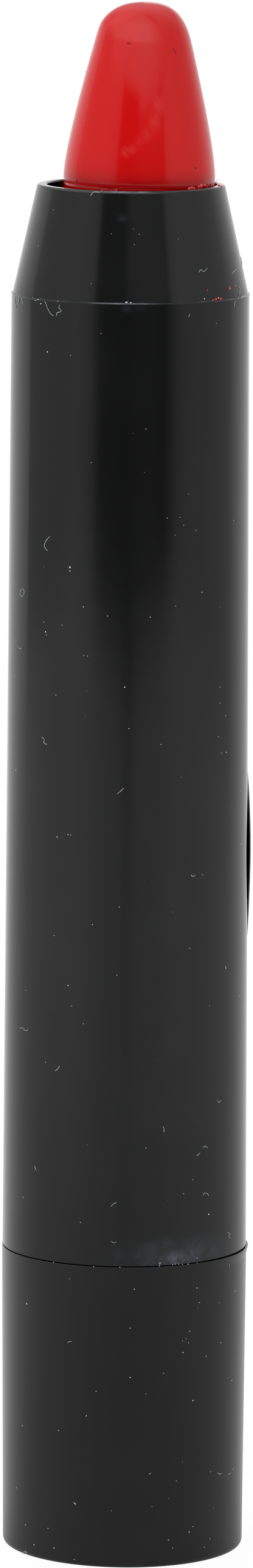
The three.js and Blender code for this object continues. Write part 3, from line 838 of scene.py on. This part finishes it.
def make_barrel():
    """The barrel's wall from its foot over the nose and the mouth, and back down its bore."""
    body_low = (BARREL_FOOT_RADIUS, BARREL_FOOT + FOOT_ROUND)
    body_high = (barrel_radius(SHOULDER - MOULD_LINE_HALF), SHOULDER - MOULD_LINE_HALF)
    nose_low = (barrel_radius(SHOULDER + MOULD_LINE_HALF), SHOULDER + MOULD_LINE_HALF)
    outer, inner = RIM_OUTER_ROUND, RIM_INNER_ROUND
    nose_high = (barrel_radius(MOUTH - outer), MOUTH - outer)
    seat = SHOULDER - SEAT_DEPTH
    profile = [(FLANGE_BORE, BARREL_FOOT)]
    foot_corner = (BARREL_FOOT_RADIUS, BARREL_FOOT)
    profile += rounded((BARREL_FOOT_RADIUS - FOOT_ROUND, BARREL_FOOT), foot_corner, body_low)
    profile += straight(body_low, body_high, steps=40)
    profile += [body_high, (SHOULDER_RADIUS + MOULD_LINE_HEIGHT, SHOULDER), nose_low]
    profile += straight(nose_low, nose_high, steps=10)
    profile += rounded(nose_high, (RIM_RADIUS, MOUTH), (RIM_RADIUS - outer, MOUTH))
    mouth_corner = (MOUTH_RADIUS, MOUTH)
    profile += rounded((MOUTH_RADIUS + inner, MOUTH), mouth_corner, (MOUTH_RADIUS, MOUTH - inner))
    profile += straight((MOUTH_RADIUS, MOUTH - inner), (MOUTH_RADIUS, seat), steps=8)
    profile += [(MOUTH_RADIUS, seat), (BARREL_BORE, seat)]
    step = BARREL_FOOT + FLANGE_DEPTH
    profile += straight((BARREL_BORE, seat), (BARREL_BORE, step), steps=20)
    profile += [(BARREL_BORE, step), (FLANGE_BORE, step)]
    barrel = lathe("barrel_shell", profile, shape=barrel_shape)
    black = black_plastic("barrel_black", BARREL_BLACK, roughness=0.075, spread=0.04, marks=barrel_marks)
    hold(barrel, black, "barrel", "barrel", "barrel")


# Base


def base_shape(point, radius, angle):
    """Raises the lip at the base's top edge on the right, and sinks the foot a little to that side."""
    sunk = max(0.0, 1 - point.z / MM) * (FOOT_SINK + FOOT_TILT * math.sin(angle))
    point = point - Vector((0, 0, sunk if radius > RECESS_RADIUS else 0))
    near = max(0.0, 1 - (BASE_TOP - point.z) / BASE_LIP_HEIGHT)
    right = max(0.0, math.sin(angle)) ** 2
    if near > 0 and radius > BASE_MID_WALL:
        grow = 1 + BASE_LIP * near * right / radius
        point = Vector((point.x * grow, point.y * grow, point.z))
    return point


def make_base():
    """The base from the gate mark under it over its foot ring and its wall, and back down its bore."""
    top = BASE_TOP_ROUND
    wall_low = (BASE_FOOT_RADIUS, BASE_FILLET)
    wall_high = (BASE_TOP_RADIUS, BASE_TOP - top)
    lip_low = (stick_radius(BASE_TOP - BASE_LIP_HEIGHT), BASE_TOP - BASE_LIP_HEIGHT)
    gate_top = RECESS_DEPTH - GATE_HEIGHT
    recess_edge = (RECESS_RADIUS - RECESS_ROUND, RECESS_DEPTH)
    recess_foot = (RECESS_RADIUS, RECESS_BEVEL)
    profile = [(0, gate_top), (GATE_RADIUS * GATE_END_SHARE, gate_top), (GATE_RADIUS, RECESS_DEPTH)]
    profile += straight((GATE_RADIUS, RECESS_DEPTH), recess_edge, steps=4)
    profile += rounded(recess_edge, (RECESS_RADIUS, RECESS_DEPTH), recess_foot, steps=4)
    profile += [(RECESS_RADIUS + RECESS_BEVEL, 0)]
    profile += rounded((BASE_FOOT_RADIUS - BASE_FILLET, 0), (BASE_FOOT_RADIUS, 0), wall_low, steps=8)
    profile += straight(wall_low, lip_low, steps=14) + [lip_low]
    profile += straight(lip_low, wall_high, steps=5)
    profile += rounded(wall_high, (BASE_TOP_RADIUS, BASE_TOP), (BASE_TOP_RADIUS - top, BASE_TOP))
    profile += [(BASE_BORE, BASE_TOP), (BASE_BORE, BASE_FLOOR), (0, BASE_FLOOR)]
    base = lathe("base_shell", profile, shape=base_shape)
    black = black_plastic("base_black", BASE_BLACK, roughness=0.24, spread=0.06)
    hold(base, black, "base", "base", "base_cover")


# Crayon

COLLAR_TOP = on_crayon(*COLLAR)[0].z - CRAYON_FOOT
COLLAR_LOW = on_crayon(*COLLAR_FOOT)[0].z - CRAYON_FOOT
COLLAR_PROUD = 0.045 * MM
COLLAR_EDGE = 0.06 * MM
COLLAR_FADE = 0.3 * MM
COLLAR_WAVES = ((4, 0.08 * MM), (17, 0.03 * MM))
COLLAR_LUMPS = Vector((11, 11, 3 / MM))
COLLAR_LEAST = 0.9
COLLAR_SPREAD = 0.6
SCRAPE_TOP = MOUTH - CRAYON_FOOT + 0.34 * MM
SCRAPE_HEIGHT = 0.24 * MM
SCRAPE_DEPTH = 0.02 * MM


def share_of(value):
    """A value kept between 0 and 1."""
    return max(0.0, min(1.0, value))


def crayon_shape(point, radius, angle):
    """Shapes the crayon's dome and its scraped collar, adds the casting's waves, and leans the crayon.

    The top of the dome goes to +X and its left side bulges to -X.
    """
    up = point.z
    side = max(0.0, 1 - abs(up - DOME_SIDE) / DOME_SIDE_REACH)
    point = point - Vector((DOME_SIDE_PROUD * side * side * max(0.0, -math.sin(angle)), 0, 0))
    top = max(0.0, (up - DOME_TOP) / MM)
    point = point + Vector((DOME_SHIFT * top * top, 0, 0))
    if radius > 0:
        out = Vector((math.sin(angle), -math.cos(angle), 0))
        place = (out * radius + Vector((0, 0, up))) / CASTING_WAVE_LENGTH
        point += out * noise.noise(place) * CASTING_WAVE
        ragged = sum(noise.noise(out * waves) * size for waves, size in COLLAR_WAVES)
        collar = share_of((COLLAR_TOP + ragged - up) / COLLAR_EDGE)
        collar *= share_of((up - COLLAR_LOW) / COLLAR_FADE)
        lumpy = COLLAR_LEAST + COLLAR_SPREAD * noise.noise((out + Vector((0, 0, up))) * COLLAR_LUMPS)
        scraped = share_of((SCRAPE_TOP + ragged / 2 - up) / SCRAPE_HEIGHT) if up > COLLAR_LOW else 0.0
        point += out * (collar * lumpy * COLLAR_PROUD - scraped * SCRAPE_DEPTH)
    lean = Matrix.Rotation(CRAYON_LEAN, 3, "Y")
    return lean @ point + Vector((0, 0, CRAYON_FOOT))


def make_crayon():
    """The crayon's red stick, from its foot in the cup to its worn dome."""
    crayon = lathe("crayon_body", CRAYON_PROFILE, shape=crayon_shape)
    hold(crayon, paint_material("paint_red"), "carrier", "paint", "paint_crayon")


# Label


def make_label():
    """A curved oval of film whose front edge has lifted a little, and its cut edge."""
    reach = barrel_radius(LABEL_MIDDLE) + LABEL_GAP + LABEL_THICKNESS
    start, end = math.asin(label_low.y / reach), math.asin(label_high.y / reach)
    half_width = reach * math.sin((end - start) / 2)
    film, edge = bmesh.new(), bmesh.new()

    def spot(share, side, lift):
        angle = 2 * math.pi * side / LABEL_SIDES
        across = share * half_width * math.cos(angle)
        up = share * LABEL_HEIGHT / 2 * math.sin(angle)
        turn = (start + end) / 2 + math.asin(across / reach)
        loose = max(0.0, -math.cos(angle + LABEL_LOOSE_ANGLE)) ** LABEL_LOOSE_POWER * share**4
        out = barrel_radius(LABEL_MIDDLE + up) + LABEL_GAP + lift + LABEL_LIFT * loose
        return Vector((out * math.cos(turn), out * math.sin(turn), LABEL_MIDDLE + up))

    def circle(bm, share, lift):
        return [bm.verts.new(spot(share, side, lift)) for side in range(LABEL_SIDES)]

    rings = [[film.verts.new(spot(0, 0, LABEL_THICKNESS))]]
    rings += [circle(film, ring / LABEL_RINGS, LABEL_THICKNESS) for ring in range(1, LABEL_RINGS + 1)]
    skin(film, rings)
    skin(edge, [circle(edge, share, lift) for share, lift in LABEL_RIM])
    face = new_object("label_film", film)
    hold(face, label_material("label_dark"), "barrel", "label", "side_label")
    rim = new_object("label_edge", edge)
    hold(rim, edge_material("label_amber"), "barrel", "label")


# Lint and crumbs

LINT_THICKNESS = 0.030 * MM
LINT_SPREAD = (0.7, 1.2)
CRUMB_TURN = 6.28
CRUMB_SEEDS = 50
CRUMB_LONGER = (1.0, 1.5)
CRUMB_ROUGH = 0.45
CRUMB_WAVES = 1.4
CRUMB_SHARP_DEGREES = 80


def smooth_path(points, steps=5):
    """A smooth path through all the points."""
    if len(points) < 3:
        return points
    ends = [points[0] * 2 - points[1], *points, points[-1] * 2 - points[-2]]
    path = [points[0]]
    for a, b, c, d in zip(ends, ends[1:], ends[2:], ends[3:]):
        for step in range(1, steps + 1):
            t = step / steps
            square = 2 * a - 5 * b + 4 * c - d
            cube = 3 * b - a - 3 * c + d
            path.append(0.5 * (2 * b + (c - a) * t + square * t * t + cube * t**3))
    return path


def make_fibres(name, place, fibres, body, material):
    """Thin fibres lying on a surface, each given by the pixels that it passes through."""
    curve = bpy.data.curves.new(name, "CURVE")
    curve.dimensions = "3D"
    curve.bevel_depth = LINT_THICKNESS / 2
    curve.bevel_resolution = 1
    curve.use_fill_caps = True
    for pixels in fibres:
        path = smooth_path([place(x, y, LINT_THICKNESS / 2)[0] for x, y in pixels])
        spline = curve.splines.new("POLY")
        spline.points.add(len(path) - 1)
        for knot, point in zip(spline.points, path):
            knot.co = (*point, 1)
            knot.radius = rng.uniform(*LINT_SPREAD)
    hold(link(name, curve), material, body, body)


def make_crumbs(name, place, spots, body, slot, scale, flatness, material):
    """Small uneven crumbs on a surface, each given by its pixel and its size in pixels."""
    bm = bmesh.new()
    for x, y, size in spots:
        point, out = place(x, y)
        turn = out.to_track_quat("Z", "Y").to_matrix() @ Matrix.Rotation(rng.uniform(0, CRUMB_TURN), 3, "Z")
        seed = Vector((rng.uniform(0, CRUMB_SEEDS), 0, 0))
        longer = rng.uniform(*CRUMB_LONGER)
        for vert in bmesh.ops.create_icosphere(bm, subdivisions=2, radius=1.0)["verts"]:
            shape = vert.co * (1 + CRUMB_ROUGH * noise.noise(vert.co * CRUMB_WAVES + seed))
            shape = Vector((shape.x * longer, shape.y, shape.z * flatness))
            vert.co = point + turn @ shape * size * scale * PIXEL / 2
    hold(new_object(name, bm, CRUMB_SHARP_DEGREES), material, body, slot)


def make_litter():
    """The lint, the dust and the crumbs of paint that the photograph shows."""
    lint = crumb_material("lint_grey", *LINT_GREYS, roughness=0.8)
    dust = crumb_material("dust_pale", *DUST_GREYS, roughness=0.8)
    flakes = crumb_material("paint_flakes", *FLAKE_REDS, roughness=0.25)
    specks = crumb_material("paint_specks", *SPECK_REDS, roughness=0.4)
    make_fibres("barrel_lint", on_stick, BARREL_FIBRES, "barrel", lint)
    make_fibres("base_lint", on_stick, BASE_FIBRES, "base", lint)
    make_fibres("rim_lint", on_rim, RIM_FIBRES, "barrel", lint)
    for name, place, spots, body, slot, scale, flatness, material in (
        ("barrel_dust", on_stick, BARREL_DUST, "barrel", "barrel", 0.8, 0.6, dust),
        ("base_dust", on_stick, BASE_DUST, "base", "base", 0.8, 0.6, dust),
        ("paint_spots", on_stick, PAINT_SPOTS, "barrel", "paint", 1.3, 0.5, flakes),
        ("crayon_specks", on_crayon, CRAYON_SPECKS, "carrier", "paint", 1.7, 0.4, specks),
        ("mouth_crumbs", on_crayon, MOUTH_CRUMBS, "carrier", "paint", 1.5, 0.4, flakes),
        ("rim_crumbs", on_rim, RIM_CRUMBS, "barrel", "paint", 1.2, 0.9, flakes),
    ):
        make_crumbs(name, place, spots, body, slot, scale, flatness, material)


# Studio: what reflections see is a table lit from both sides, a dark gap behind the camera between two
# bright panels, and a lit ceiling. Rows are (degrees from the camera's side, brightness), left negative.

HIGH_PANELS = (
    (-180, 1.0), (-150, 0.95), (-130, 0.88), (-119, 0.77), (-115, 0.74), (-112, 0.53), (-96, 0.53),
    (-75, 0.60), (-62, 0.66), (-50, 0.65), (-42, 0.58), (-38, 0.52), (-34, 0.20), (-30, 0.13),
    (-12, 0.12), (2, 0.16), (10, 0.19), (38, 0.20), (44, 0.60), (56, 0.69), (70, 0.65), (84, 0.60),
    (113, 0.57), (117, 0.64), (130, 0.76), (150, 0.92), (180, 1.0),
)
LOW_PANELS = (
    (-180, 1.0), (-150, 0.95), (-130, 0.86), (-115, 0.75), (-111, 0.45), (-75, 0.53), (-55, 0.60),
    (-46, 0.55), (-38, 0.42), (-30, 0.17), (-24, 0.10), (-4, 0.09), (8, 0.13), (22, 0.13), (32, 0.10),
    (38, 0.18), (46, 0.38), (60, 0.52), (112, 0.54), (117, 0.66), (135, 0.82), (180, 1.0),
)
TABLE_FAR = (
    (-180, 1.0), (-150, 0.94), (-130, 0.81), (-110, 0.70), (-75, 0.73), (-55, 0.78), (-40, 0.73),
    (-30, 0.64), (-18, 0.58), (-7, 0.54), (0, 0.49), (7, 0.54), (18, 0.57), (30, 0.59), (42, 0.66),
    (60, 0.67), (112, 0.68), (130, 0.82), (150, 0.96), (180, 1.0),
)
TABLE_NEAR = (
    (-180, 1.0), (-150, 1.0), (-112, 0.76), (-90, 0.62), (-60, 0.54), (-42, 0.50), (0, 0.42),
    (42, 0.46), (69, 0.52), (112, 0.64), (150, 0.90), (180, 1.0),
)

# The noise that makes the studio's edges ragged, and how much
STUDIO_RAGGED = (7, 3)
RAGGED_HEIGHT = 0.012

# The studio's soft steps, given as the materials' are. Their first two values are turns from the camera's
# side in radians, or how high a direction points (1 straight up), or distances along the table in metres.
BEHIND = (1.7, 2.4)
PATCH_LEFT = (-0.13, 0.02)
PATCH_RIGHT = (0.80, 0.62)
PATCH_LOW = (0.22, 0.33, 0.0, 0.09)
PATCH_HIGH = (0.350, 0.372, 0.0, 0.42)
WALL_FOOT = (-0.5, 0.5, 0.24, 0.45)
WALL_FOOT_BEHIND = -0.15
WALL_TOP = (-0.5, 0.5, 0.83, 0.95)
WALL_TOP_BEHIND = -0.45
WALL_LEVEL = (-0.5, 0.5, 1.35, 1.05)
WALL_BEHIND = (0.4, 1.0, 0.5, 1.15)
WALL_TURN = (0.8, 1.3)
SILL_TURN = -0.61
SILL_HEIGHT = 0.386
SILL_FALL_LEFT = -0.0665
SILL_FALL_RIGHT = -0.02
SILL_SOFT = 0.02
WINDOW_LEFT = (-1.75, -1.20)
WINDOW_RIGHT = (1.30, 0.30)
WINDOW_LOW = (-0.005, 0.05, 0.82, 1.06)
WINDOW_HIGH = (0.045, 0.105, 0.0, 0.80)
WINDOW_HIGH_LEFT = (-2.2, -0.4)
WINDOW_HIGH_RIGHT = (1.1, 0.05)
WINDOW_FADE = (0.76, 1.05, 1.0, 0.70)
SKY = (-0.2, 1.0, 0.80, 1.35)
SKY_TO_RIGHT = -0.40
TABLE_REACH = (0.03, 0.22)
TABLE_EDGE = (0.335, 0.50)
TABLE_EDGE_TURN = 0.9
TABLE_EDGE_SPREAD = -0.095
TABLE_EDGE_FALL = (-0.5, 0.5, 0.105, 0.18)
STREAK_REACH = (0.20, 0.33)
STREAK_WIDTH = (0.22, 0.0, 0.0, 0.17)
FLOOR_LIFT = 0.95
FLOOR_RADIUS = 9.0
FLOOR_SIDES = 96


def ramp(n, turn, rows):
    """Brightness by the angle round the stick, from rows of degrees and brightness."""
    share = n.scaled(turn, 1 / (2 * math.pi), 0.5)
    node = n.add("ValToRGB", {0: share})
    element = node.color_ramp.elements
    element[0].position, element[1].position = 0.0, 1.0
    element[0].color = (*[rows[0][1]] * 3, 1)
    element[1].color = (*[rows[-1][1]] * 3, 1)
    for degrees, level in rows[1:-1]:
        element.new(degrees / 360 + 0.5).color = (level, level, level, 1)
    return node.outputs[0]


def make_world():
    """White for the camera, soft light from above and the left, and the studio in reflections."""
    world = bpy.data.worlds.new("studio")
    bpy.context.scene.world = world
    world.use_nodes = True
    n = Nodes(world.node_tree)
    way = n.add("TexCoord").outputs["Generated"]
    height = n.height(way)
    turn = n.turn(way)
    off_front = n.math("ABSOLUTE", turn)
    level = n.math("SUBTRACT", height, RAGGED_HEIGHT / 2)
    ragged = n.scaled(n.noise(way, *STUDIO_RAGGED), RAGGED_HEIGHT, level)
    right = n.times(n.smooth(turn, *PATCH_LEFT), n.smooth(turn, *PATCH_RIGHT))
    patch = n.times(right, n.math("ADD", n.smooth(ragged, *PATCH_LOW), n.smooth(ragged, *PATCH_HIGH)))
    panels = n.mix(1.0, ramp(n, turn, HIGH_PANELS), n.grey(patch), "ADD")
    behind = n.smooth(off_front, *BEHIND)
    wall_foot = n.scaled(behind, WALL_FOOT_BEHIND, n.smooth(turn, *WALL_FOOT))
    wall_top = n.scaled(behind, WALL_TOP_BEHIND, n.smooth(turn, *WALL_TOP))
    wall = n.mix(behind, n.grey(n.smooth(turn, *WALL_LEVEL)), n.grey(n.smooth(ragged, *WALL_BEHIND)))
    walled = n.times(n.smooth(ragged, wall_foot, wall_top), n.smooth(off_front, *WALL_TURN))
    beside = n.mix(walled, panels, wall)
    left_of = n.math("MAXIMUM", n.math("SUBTRACT", SILL_TURN, turn), 0.0)
    right_of = n.math("MAXIMUM", n.math("SUBTRACT", turn, SILL_TURN), 0.0)
    sill = n.scaled(right_of, SILL_FALL_RIGHT, SILL_HEIGHT)
    sill = n.scaled(left_of, SILL_FALL_LEFT, sill)
    up = n.math("SUBTRACT", ragged, sill)
    fade = n.smooth(ragged, *WINDOW_FADE)
    near = n.times(n.smooth(turn, *WINDOW_LEFT), n.smooth(turn, *WINDOW_RIGHT))
    low_light = n.times(n.smooth(up, *WINDOW_LOW), fade)
    window = n.mix(n.times(n.math("DIVIDE", up, SILL_SOFT, clamp=True), near), beside, n.grey(low_light))
    wide = n.times(n.smooth(turn, *WINDOW_HIGH_LEFT), n.smooth(turn, *WINDOW_HIGH_RIGHT))
    high_light = n.times(n.smooth(up, *WINDOW_HIGH), wide, fade)
    studio = n.mix(1.0, window, n.grey(high_light), "ADD")
    sky = n.smooth(height, *SKY)
    to_right = n.add("SeparateXYZ", {0: way}).outputs["X"]
    light = n.scaled(to_right, SKY_TO_RIGHT, sky)
    path = n.add("LightPath")
    seen = n.mix(path.outputs["Is Glossy Ray"], n.grey(light), studio)
    shown = n.mix(path.outputs["Is Camera Ray"], seen, WHITE)
    background = n.add("Background", {"Color": shown, "Strength": 1.0})
    n.add("OutputWorld", {"Surface": background.outputs[0]})


def floor_material():
    """A pale matt floor, which reflections see as the lit table and, past its edge, the panels."""
    material, n = new_material("floor_pale")
    place = n.add("NewGeometry").outputs["Position"]
    turn = n.turn(place)
    off_front = n.math("ABSOLUTE", turn)
    reach = n.vector("LENGTH", place)["Value"]
    table = n.mix(n.smooth(reach, *TABLE_REACH), ramp(n, turn, TABLE_NEAR), ramp(n, turn, TABLE_FAR))
    streak = n.times(n.smooth(reach, *STREAK_REACH), n.smooth(off_front, *STREAK_WIDTH))
    table = n.mix(streak, table, BLACK)
    near_side = n.math("MINIMUM", off_front, TABLE_EDGE_TURN)
    edge = n.scaled(near_side, TABLE_EDGE_SPREAD, reach)
    far_side = n.math("MAXIMUM", n.math("SUBTRACT", off_front, TABLE_EDGE_TURN), 0.0)
    fall = n.smooth(turn, *TABLE_EDGE_FALL)
    edge = n.scaled(far_side, fall, edge)
    past = n.smooth(edge, *TABLE_EDGE)
    glow = n.add("Emission", {"Color": n.mix(past, table, ramp(n, turn, LOW_PANELS))})
    mottle = n.noise(place, *FLOOR_MOTTLE)
    paint = n.mix(mottle, *FLOOR_WHITES)
    matt = n.add("BsdfDiffuse", {"Color": paint})
    path = n.add("LightPath")
    lifted = n.add("Emission", {"Color": WHITE})
    share = n.times(path.outputs["Is Camera Ray"], FLOOR_LIFT)
    pale = n.add("MixShader", {0: share, 1: matt.outputs[0], 2: lifted.outputs[0]})
    seen = {0: path.outputs["Is Glossy Ray"], 1: pale.outputs[0], 2: glow.outputs[0]}
    n.add("OutputMaterial", {"Surface": n.add("MixShader", seen).outputs[0]})
    return material


def make_floor():
    """A wide round floor under the foot's sunken side."""
    bm = bmesh.new()
    bmesh.ops.create_circle(bm, cap_ends=True, segments=FLOOR_SIDES, radius=FLOOR_RADIUS)
    bmesh.ops.translate(bm, verts=bm.verts, vec=(0, 0, -FOOT_SINK - FOOT_TILT))
    floor = new_object("floor", bm)
    floor.data.materials.append(floor_material())


# Pieces inside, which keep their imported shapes, as their material, colour and roughness
INNER = {
    "guide_sleeve": ("sleeve_black", (0.020, 0.020, 0.021), 0.35),
    "base_core": ("core_black", (0.020, 0.020, 0.021), 0.35),
    "o_ring": ("ring_rubber", (0.010, 0.010, 0.010), 0.60),
    "spindle": ("spindle_cream", (0.70, 0.68, 0.62), 0.35),
    "follower": ("follower_cream", (0.70, 0.68, 0.62), 0.35),
    "crayon_cup": ("cup_cream", (0.76, 0.74, 0.69), 0.35),
}


def dress_inner():
    """Gives the pieces inside their moulded materials."""
    for node, (name, colour, roughness) in INNER.items():
        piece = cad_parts[node]
        piece.data.materials.clear()
        piece.data.materials.append(moulded_material(name, colour, roughness))


make_barrel()
make_base()
make_crayon()
make_label()
make_litter()
dress_inner()
make_world()
make_floor()

bpy.context.scene.view_settings.view_transform = "Standard"
bpy.context.scene.view_settings.look = "None"
